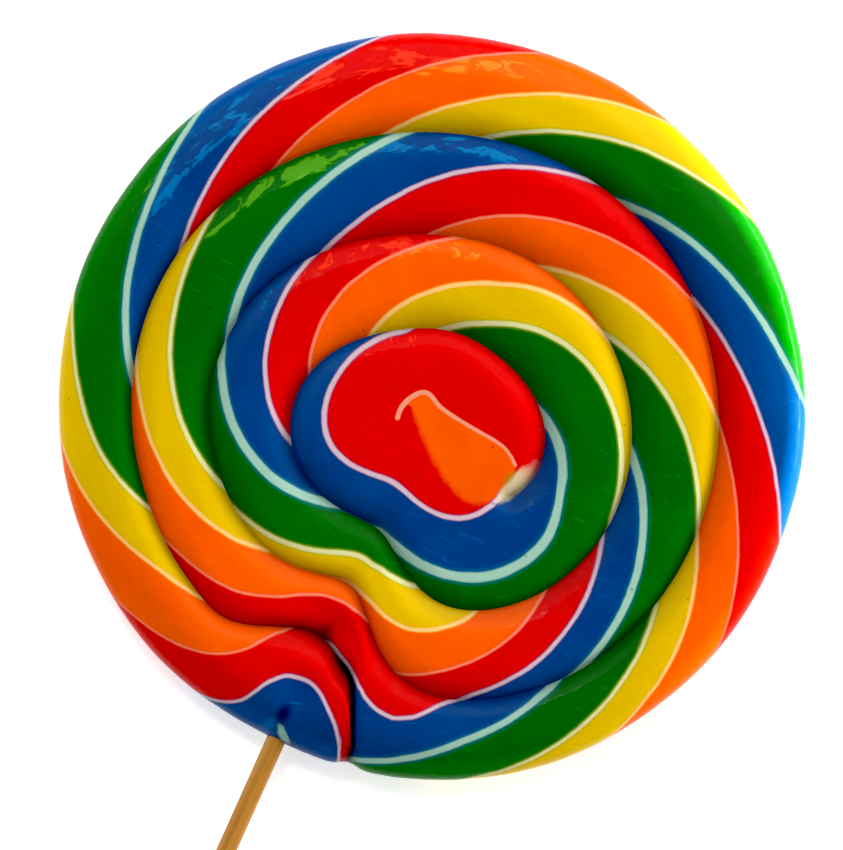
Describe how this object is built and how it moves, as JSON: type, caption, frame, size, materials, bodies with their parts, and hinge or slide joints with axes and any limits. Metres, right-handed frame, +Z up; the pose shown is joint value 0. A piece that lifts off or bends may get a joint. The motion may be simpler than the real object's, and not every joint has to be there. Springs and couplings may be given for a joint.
{
  "type": "swirl lollipop",
  "caption": "Flat round lollipop: a twisted rope of coloured boiled sugar coiled into a disc, with a straight wooden stick pushed into its rim.",
  "frame": {"origin": "on the plane the disc lies on, under the middle of the disc", "axes": "+Z up out of the coiled face, -Y along the stick from the disc to the stick's free end, +X to the right seen from above with the stick toward the viewer"},
  "size_m": [0.1351, 0.2995, 0.0105],
  "materials": {
    "candy": "glossy boiled sugar, twisted stripes of red, orange, yellow, green and blue with thin white lines between them",
    "stick": "plain unfinished wood"
  },
  "bodies": {
    "root": {"candy": "candy", "stick": "stick"}
  },
  "joints": []
}
